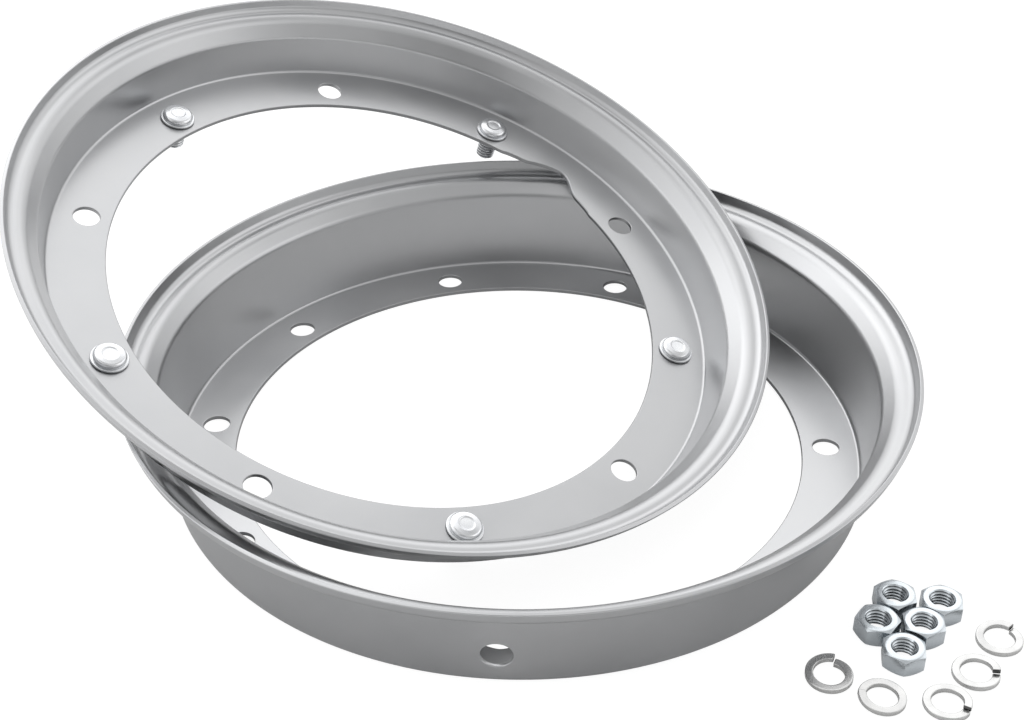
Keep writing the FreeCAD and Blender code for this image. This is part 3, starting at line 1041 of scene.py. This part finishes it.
@dataclass
class Studs:
    """Five studs pressed through the leaning half, with button heads above and thread below."""

    sheet: float = 1.5
    circle_r: float = 112.0
    first_angle: float = 73.727
    step_angle: float = -72.0
    count: int = 5
    thread_r: float = 3.95
    reach: float = 11.3
    end_chamfer: float = 1.2
    plain_length: float = 1.6
    collar_r: float = 6.55
    collar_height: float = 1.1
    collar_low_share: float = 0.45
    collar_high_round: float = 0.3
    # Past the thread and above the plate: where the collar's underside gets a painted shadow
    collar_shade: tuple[float, float] = (0.5, 0.4)
    nick: float = 0.05
    groove: float = 0.15
    button_r: float = 5.75
    head_height: float = 3.12
    shoulder_round: float = 1.35
    crown_drop: float = 0.22
    dimple_r: float = 2.8
    dimple_land: float = 0.35
    dimple_depth: float = 0.19
    floor_share: float = 0.9
    floor_r: float = 0.3
    columns: int = 96
    rows_per_pitch: int = 12
    fade_pitches: float = 0.6
    crease_deg: float = 38.0
    thread: ScrewThread = ScrewThread()
    rest: Rest = Rest()
    finish: BrightMetal = BrightMetal(
        "stud_bright_zinc", (0.70, 0.71, 0.72), (0.62, 0.63, 0.65), rough=0.22,
        rough_spread=0.04, grain_waves=1400.0, grain_bump=(0.10, 0.00003)
    )

    def shank(self) -> tuple[np.ndarray, np.ndarray]:
        """The shank for each row and angle, from its end up to the head.

        Between its end chamfer and its plain neck the radius is the outer one less the thread's
        cut, which fades in over fade_pitches at the neck.

        Returns:
            Radius and height, and how deep in the thread's root each place lies, from 0 to 1.
        """
        z_low, z_high = self.end_chamfer - self.reach, -self.plain_length
        rows = int(self.rows_per_pitch * (z_high - z_low) / self.thread.pitch)
        z = np.linspace(-self.reach, z_high, rows + 1)[:, None]
        fade = smooth_step((z_high - z) / (self.fade_pitches * self.thread.pitch))
        cut = self.thread.cut(self.angles(), z) * fade
        chamfer = self.thread_r - np.maximum(z_low - z, 0.0)
        radius = np.minimum(self.thread_r - cut, chamfer)
        return joined(radius, z), cut / self.thread.depth

    def head(self) -> np.ndarray:
        """The head's outline, from the neck over collar and button to the dimple's floor.

        Returns:
            Rows of radius and height.
        """
        top, step = self.sheet + self.head_height, self.sheet + self.collar_height
        low, high = self.collar_low_share * self.collar_height, self.collar_high_round
        nick, groove, dip = self.nick, self.groove, self.dimple_depth
        shoulder = top - self.crown_drop - self.shoulder_round
        line = Outline(self.thread_r, 0.1 - self.plain_length).line(self.thread_r, self.sheet, 3)
        line.line(self.collar_r - low, self.sheet, 3)
        line.arc((self.collar_r - low, self.sheet + low), 90.0, 5)
        line.line(self.collar_r, step - high - nick, 2)
        line.arc((self.collar_r - high, step - high - nick), 90.0, 5)
        line.line(self.button_r - nick, step - nick, 2).line(self.button_r - groove, step, 2)
        line.line(self.button_r, step + groove, 2).line(self.button_r, shoulder, 3)
        line.arc((self.button_r - self.shoulder_round, shoulder), 78.0, 12)
        line.line(self.dimple_r + self.dimple_land, top - 0.01, 8)
        line.line(self.dimple_r, top - 0.03, 2).line(self.dimple_r - dip, top - 0.8 * dip, 3)
        line.line(self.dimple_r - 2 * dip, top - dip, 2)
        line.line(self.floor_r, top - self.floor_share * dip, 6)
        return line.points()

    def angles(self) -> np.ndarray:
        """Angles of the columns."""
        return np.linspace(0.0, TURN, self.columns, endpoint=False)

    def build(self) -> None:
        """Makes, dresses and hands over every stud."""
        zinc = self.finish.material()
        head = np.repeat(self.head()[:, None, :], self.columns, axis=1)
        shank, depth = self.shank()
        outline = np.concatenate([shank, head])
        # Painted shade in the thread's root, and a painted shadow under the collar where it meets
        # the plate
        past, above = self.collar_shade
        under = (head[..., 0] > self.thread_r + past) & (head[..., 1] < self.sheet + above)
        shade = np.concatenate([depth, under])
        top = self.sheet + self.head_height - self.floor_share * self.dimple_depth
        for i in range(self.count):
            a = math.radians(self.first_angle + self.step_angle * i)
            foot = np.array([self.circle_r * math.cos(a), self.circle_r * math.sin(a), 0.0])
            surface = SurfaceMesh()
            grid = surface.grid(self.rest.place(turned(outline, self.angles()) + foot), shade=shade)
            surface.pole(grid[0], self.rest.place(foot + (0.0, 0.0, -self.reach)))
            surface.pole(grid[-1][::-1], self.rest.place(foot + (0.0, 0.0, top)))
            obj = surface.build(f"stud_{i + 1}_threaded", self.crease_deg)
            hand_over(obj, zinc, f"stud_{i + 1}")


# ---------------------------------------------------------------------------------------------
# Nuts and spring washers
# ---------------------------------------------------------------------------------------------


@dataclass(frozen=True)
class Spot:
    """Where a loose piece lies, and how it is turned."""

    x: float
    y: float
    degrees: float
    rise: float = 0.0


@dataclass
class Nuts:
    """Hexagon nuts with rounded corners, chamfered faces and a threaded bore."""

    flats: float = 12.8
    height: float = 6.5
    bore_r: float = 3.4
    sink: float = 0.9
    face_land: float = 0.3
    chamfer_deg: float = 28.0
    corner_round: float = 0.35
    arris: float = 0.12
    land_start: float = 0.08
    cone_shares: Sequence[float] = (0.06, 0.35, 0.7, 0.95)
    rows_per_pitch: int = 12
    crease_deg: float = 24.0
    thread: ScrewThread = ScrewThread()
    spots: Sequence[Spot] = (
        Spot(121.51, -89.86, 27.9),
        Spot(136.13, -92.17, 22.3),
        Spot(113.99, -101.54, -6.8),
        Spot(128.27, -102.73, 26.3),
        Spot(120.00, -114.40, 22.5),
    )
    finish: BrightMetal = BrightMetal(
        "nut_blue_zinc", (0.60, 0.64, 0.67), (0.57, 0.605, 0.635), rough=0.24,
        rough_spread=0.03, grain_waves=700.0, grain_bump=(0.06, 0.00003)
    )

    def angles(self) -> np.ndarray:
        """Angles of the columns, closer together round each of the six corners."""
        near = np.array([0.0, 0.5, 1.0, 1.6, 2.6, 4.5, 7.5, 11.5, 16.0, 20.5, 25.0])
        sector = np.concatenate([near, [30.0], 60.0 - near[:0:-1]])
        return np.radians(np.concatenate([sector + 60.0 * i for i in range(6)]))

    def side_radius(self, angles: np.ndarray) -> np.ndarray:
        """Radius of the hexagon with rounded corners: flats a ray meets, or the corner's arc.

        With b the angle from the nearest corner, a flat is met at (flats/2) / cos(30 - b). The
        arc has its centre c on the corner's line and is met at c cos b + sqrt(p^2 - c^2 sin^2 b).

        Args:
            angles: In radians, 0 at a corner.

        Returns:
            The radius at each.
        """
        half = self.flats / 2
        b = np.abs(np.mod(angles + math.pi / 6, math.pi / 3) - math.pi / 6)
        flat = half / np.cos(math.pi / 6 - b)
        p = self.corner_round
        c = (half - p) / math.cos(math.pi / 6)
        touch = math.atan2(p * 0.5, c + p * math.cos(math.pi / 6))
        arc = c * np.cos(b) + np.sqrt(np.maximum(p * p - (c * np.sin(b)) ** 2, 0.0))
        return np.where(b < touch, arc, flat)

    def outline(self) -> tuple[np.ndarray, np.ndarray]:
        """The nut for every angle: bore, face, side, face.

        Returns:
            Closed line of radius and height, and the depth in the thread's root of the bore's rows.
        """
        angles = self.angles()
        wide = self.side_radius(angles)
        rows = int(self.rows_per_pitch * self.height / self.thread.pitch)
        z = np.linspace(0.0, self.height, rows + 1)[:, None]
        sunk = self.bore_r + self.sink - np.minimum(z, self.height - z)
        cut = self.thread.cut(angles, z)
        bore = np.maximum(self.bore_r + cut, sunk)
        depth = np.where(self.bore_r + cut > sunk, cut / self.thread.depth, 0.0)
        face_r = self.flats / 2 - self.face_land
        mouth = self.bore_r + self.sink
        beyond = wide - face_r
        slope = math.tan(math.radians(self.chamfer_deg))
        land = (mouth + self.land_start, 0.5 * (mouth + face_r), face_r - self.arris)
        face = [(r, 0.0) for r in land]
        cone = [
            (face_r + beyond * share, beyond * share * slope + self.arris * 0.2)
            for share in self.cone_shares
        ]
        down = face + cone + [(wide, beyond * slope + self.arris)]
        upper = [(r, self.height - drop) for r, drop in down + [(wide, self.height / 2)]]
        side = [joined(r, h, wide)[:, :2] for r, h in upper + down[::-1]]
        return np.concatenate([joined(bore, z), np.stack(side)]), depth

    def build(self) -> None:
        """Makes, dresses and hands over every nut."""
        zinc = self.finish.material()
        outline, depth = self.outline()
        # Painted shade in the bore's thread roots
        shade = np.zeros(outline.shape[:-1])
        shade[: len(depth)] = depth
        points = turned(outline, self.angles())
        for i, spot in enumerate(self.spots):
            surface = SurfaceMesh()
            placed = points @ about_z(math.radians(spot.degrees)).T + (spot.x, spot.y, 0.0)
            surface.grid(placed, round_rows=True, shade=shade)
            obj = surface.build(f"nut_{i + 1}_threaded", self.crease_deg)
            hand_over(obj, zinc, f"nut_{i + 1}")


@dataclass
class SpringWashers:
    """Split rings wound left-handed, leaning on the floor, with rounded edges and cut ends."""

    out_r: float = 7.4
    in_r: float = 4.9
    thick: float = 1.6
    edge: float = 0.25
    split_deg: float = 2.2
    lean: float = 0.297
    lean_angle: float = -36.8
    end_draw: float = 0.06
    end_reach: float = 0.25
    steps: int = 150
    crease_deg: float = 40.0
    spots: Sequence[Spot] = (
        Spot(96.16, -121.58, 66.8, 2.0),
        Spot(110.75, -130.79, 165.0, 1.3),
        Spot(130.15, -132.99, -33.6, 1.3),
        Spot(141.65, -120.09, -8.8, 1.6),
        Spot(152.35, -104.89, 41.0, 1.3),
    )
    finish: BrightMetal = BrightMetal(
        "washer_bright_steel", (0.57, 0.57, 0.565), (0.52, 0.52, 0.518), rough=0.25,
        rough_spread=0.03, grain_waves=1000.0, grain_bump=(0.05, 0.00003)
    )

    def section(self) -> np.ndarray:
        """Closed section of the wire: a rectangle with rounded corners.

        Returns:
            Rows of radius and height.
        """
        e, top = self.edge, self.thick
        line = Outline(self.in_r + e, 0.0).line(self.out_r - e, 0.0, 5)
        line.arc((self.out_r - e, e), 90.0, 5).line(self.out_r, top - e, 3)
        line.arc((self.out_r - e, top - e), 90.0, 5).line(self.in_r + e, top, 5)
        line.arc((self.in_r + e, top - e), 90.0, 5).line(self.in_r, e, 3)
        return line.arc((self.in_r + e, e), 90.0, 5).points()[:-1]

    def ring(self, spot: Spot) -> np.ndarray:
        """Points of one washer: the section carried clockwise round Z while it climbs.

        At a share t of the way the section is at the angle -t (360 - split) and lifted by
        t rise (360 - split) / 360. At its two ends it draws in a little, as a sheared end does.

        Args:
            spot: Where the washer lies, which also gives its rise.

        Returns:
            Steps by section by three, flat and unturned.
        """
        t = np.linspace(0.0, 1.0, self.steps + 1)[:, None]
        way = math.radians(360.0 - self.split_deg)
        angle = -t * way
        section = self.section()
        middle = section.mean(axis=0)
        end = np.minimum(t, 1.0 - t) * way * 0.5 * (self.in_r + self.out_r)
        pull = 1.0 - self.end_draw * (1.0 - smooth_step(end / self.end_reach))
        r = middle[0] + (section[:, 0] - middle[0]) * pull
        z = middle[1] + (section[:, 1] - middle[1]) * pull + t * spot.rise * way / TURN
        return joined(r * np.cos(angle), r * np.sin(angle), z)

    def settled(self, points: np.ndarray, spot: Spot) -> np.ndarray:
        """Leans a washer as it stands on the floor, turns it and puts it at its spot.

        Its lean is a turn by b about a level axis k: p cos b + (k x p) sin b + k (k.p)(1 - cos b).

        Args:
            points: The washer from ring.
            spot: Where it lies and how it is turned.

        Returns:
            The points in the wheel's frame, the lowest on the floor.
        """
        a = math.radians(self.lean_angle + 90.0)
        axis = np.array([math.cos(a), math.sin(a), 0.0])
        b = -math.atan(self.lean * spot.rise / self.out_r)
        leaned = (
            points * math.cos(b)
            + np.cross(axis, points) * math.sin(b)
            + (points @ axis)[..., None] * axis * (1 - math.cos(b))
        )
        placed = leaned @ about_z(math.radians(spot.degrees - self.split_deg / 2)).T
        return placed + (spot.x, spot.y, -placed[..., 2].min())

    def build(self) -> None:
        """Makes, dresses and hands over every spring washer."""
        steel = self.finish.material()
        for i, spot in enumerate(self.spots):
            points = self.settled(self.ring(spot), spot)
            surface = SurfaceMesh()
            shade = np.zeros((len(points), 1))
            shade[[0, -1]] = 1.0
            grid = surface.grid(points, shade=shade)
            surface.pole(grid[0], points[0].mean(axis=0), 1.0)
            surface.pole(grid[-1][::-1], points[-1].mean(axis=0), 1.0)
            obj = surface.build(f"spring_washer_{i + 1}_wound", self.crease_deg)
            hand_over(obj, steel, f"spring_washer_{i + 1}")


# ---------------------------------------------------------------------------------------------
# Camera, floor and light
# ---------------------------------------------------------------------------------------------


@dataclass(frozen=True)
class PhotoCamera:
    """The photograph's viewpoint: where it stands, how far it looks down, and its lens."""

    place_mm: tuple[float, float, float] = (0.0, -499.672, 373.185)
    pitch_rad: float = 0.5952
    yaw_rad: float = 0.0053
    roll_rad: float = 0.0053
    lens_px: float = 1693.591
    image_px: float = 1024.0
    sensor_mm: float = 36.0

    def build(self) -> None:
        """Makes the camera and gives it to the scene.

        Its axes are right, up and back, from pitch, then yaw about Z, then roll.
        """
        p, y, r = self.pitch_rad, self.yaw_rad, self.roll_rad
        yaw = about_z(y)
        ahead = yaw @ np.array([0.0, math.cos(p), -math.sin(p)])
        up = yaw @ np.array([0.0, math.sin(p), math.cos(p)])
        right = yaw @ np.array([1.0, 0.0, 0.0])
        rolled_right = math.cos(r) * right + math.sin(r) * up
        rolled_up = -math.sin(r) * right + math.cos(r) * up
        data = bpy.data.cameras.new("photo_camera")
        data.sensor_width = self.sensor_mm
        data.sensor_fit = "HORIZONTAL"
        data.lens = self.lens_px / self.image_px * self.sensor_mm
        data.clip_start, data.clip_end = 0.01, 50.0
        camera = bpy.data.objects.new("photo_camera", data)
        bpy.context.scene.collection.objects.link(camera)
        matrix = np.eye(4)
        matrix[:3, 0], matrix[:3, 1], matrix[:3, 2] = rolled_right, rolled_up, -ahead
        matrix[:3, 3] = np.array(self.place_mm) * MM
        camera.matrix_world = Matrix(matrix.tolist())
        bpy.context.scene.camera = camera


@dataclass(frozen=True)
class Glow:
    """A soft round patch of the studio's light."""

    azimuth: float
    elevation: float
    outer_deg: float
    strength: float
    inner_deg: float = 5.0

    def direction(self) -> tuple[float, float, float]:
        """Unit vector towards its middle; azimuth 0 is +Y, away from the camera, and 90 is +X."""
        a, e = math.radians(self.azimuth), math.radians(self.elevation)
        return (math.sin(a) * math.cos(e), math.cos(a) * math.cos(e), math.sin(e))


@dataclass
class Studio:
    """Pale floor, white background and soft light."""

    floor_drop: float = 0.0002
    floor_size: float = 12.0
    # Matt share and own light: for other rays, glossy rays, camera and transmission rays
    floor_looks: Sequence[tuple[float, float]] = ((0.62, 0.105), (0.78, 0.30), (0.16, 0.93))
    # Metres from the middle over which the glossy rays' own light grows, which paints a shadow
    # round the wheel
    painted_shadow_reach: tuple[float, float] = (0.17, 0.40)
    backdrop_top: float = 0.12
    backdrop_blend: float = 0.05
    # Elevation and outer angle of the lights round the room
    high_ring: tuple[float, float] = (52.0, 36.0)
    low_ring: tuple[float, float] = (22.0, 34.0)
    base: float = 0.32
    top_glow: Glow = Glow(0.0, 90.0, 38.0, 0.23)
    azimuths: Sequence[float] = (0.0, 45.0, 90.0, 135.0, 225.0, 270.0, 315.0)
    high_glows: Sequence[float] = (1.06, 0.18, 0.13, 0.30, 0.50, 0.44, 0.74)
    low_glows: Sequence[float] = (0.80, 0.79, 1.16, 0.18, 0.37, 1.08, 1.35)

    def glows(self) -> list[Glow]:
        """The studio's lights.

        Returns:
            The top light, then seven round the room high up and seven low down.
        """
        rings = ((self.high_ring, self.high_glows), (self.low_ring, self.low_glows))
        around = [
            Glow(azimuth, elevation, outer_deg, strength)
            for (elevation, outer_deg), strengths in rings
            for azimuth, strength in zip(self.azimuths, strengths)
        ]
        return [self.top_glow, *around]

    def floor(self) -> None:
        """A plain pale floor just under the wheel, which keeps the wheel's shadow.

        The camera sees it white with a share of real shading, so that the contact shadows stay.
        The wheel's metal sees it white too, with real shading and its own light growing with the
        distance, a painted shadow round the wheel. To all other rays it is a plain pale floor.
        """
        s = self.floor_size / 2
        corners = [(x, y, -self.floor_drop) for x, y in ((-s, -s), (s, -s), (s, s), (-s, s))]
        mesh = bpy.data.meshes.new("pale_floor")
        mesh.from_pydata(corners, [], [(0, 1, 2, 3)])
        obj = bpy.data.objects.new("pale_floor", mesh)
        bpy.context.scene.collection.objects.link(obj)
        made, bench = new_material("pale_floor")
        rays = bench.node("ShaderNodeLightPath", {})
        seen = bench.math("MAXIMUM", rays["Is Camera Ray"], rays["Is Transmission Ray"])
        away = bench.node("ShaderNodeVectorMath", {0: bench.object_place()}, operation="LENGTH")
        (pale, pale_glow), (mirrored, mirrored_glow), (white, white_glow) = self.floor_looks
        # Painted shadow: near the wheel the glossy rays' floor has no light of its own
        glow_past_painted_shadow = bench.spread(away["Value"], *self.painted_shadow_reach, 0.0, mirrored_glow)
        look = self.lit_floor(bench, pale, pale_glow)
        look = bench.mixed(rays["Is Glossy Ray"], look, self.lit_floor(bench, mirrored, glow_past_painted_shadow))
        look = bench.mixed(seen, look, self.lit_floor(bench, white, white_glow))
        bench.show("ShaderNodeOutputMaterial", look)
        mesh.materials.append(made)

    @staticmethod
    def lit_floor(bench: NodeBench, albedo: float, glow: object) -> bpy.types.NodeSocket:
        """A pale matt floor with a share of light of its own."""
        matt = bench.node("ShaderNodeBsdfDiffuse", {"Color": (albedo, albedo, albedo, 1.0)})[0]
        light = bench.white_light("ShaderNodeEmission", glow)
        return bench.node("ShaderNodeAddShader", {0: matt, 1: light})[0]

    def world(self) -> None:
        """A white background for camera and transmission rays, else a room with soft lights.

        The wheel's metal sees the white background too, as a backdrop that stands up to the
        elevation whose sine is backdrop_top, blended over backdrop_blend to both sides.
        """
        world = bpy.data.worlds.new("studio")
        bpy.context.scene.world = world
        world.use_nodes = True
        bench = NodeBench(world.node_tree)
        way = bench.node("ShaderNodeTexCoord", {})["Generated"]
        level: object = self.base
        for glow in self.glows():
            ways = {0: way, 1: glow.direction()}
            near = bench.node("ShaderNodeVectorMath", ways, operation="DOT_PRODUCT")["Value"]
            outer, inner = np.cos(np.radians([glow.outer_deg, glow.inner_deg])).tolist()
            patch = bench.spread(near, outer, inner, 0.0, glow.strength)
            level = bench.math("ADD", level, patch)
        rays = bench.node("ShaderNodeLightPath", {})
        height = bench.node("ShaderNodeSeparateXYZ", {0: way})["Z"]
        low, high = self.backdrop_top - self.backdrop_blend, self.backdrop_top + self.backdrop_blend
        backdrop = bench.spread(height, low, high, 1.0, 0.0)
        mirrored = bench.math("MULTIPLY", rays["Is Glossy Ray"], backdrop)
        seen = bench.math("MAXIMUM", rays["Is Camera Ray"], rays["Is Transmission Ray"])
        room = bench.white_light("ShaderNodeBackground", level)
        white = bench.white_light("ShaderNodeBackground", 1.0)
        shown = bench.mixed(bench.math("MAXIMUM", seen, mirrored), room, white)
        bench.show("ShaderNodeOutputWorld", shown)

    def build(self) -> None:
        """Sets up floor, background and light."""
        self.floor()
        self.world()
        bpy.context.scene.view_settings.view_transform = "Standard"


def main() -> None:
    """Builds every piece and the studio."""
    logging.basicConfig(level=logging.INFO, format="%(message)s")
    PhotoCamera().build()
    paint = SatinPaint().material()
    for half in RIM_HALVES:
        half.build(paint)
    Studs().build()
    Nuts().build()
    SpringWashers().build()
    Studio().build()


if __name__ == "__main__":
    main()
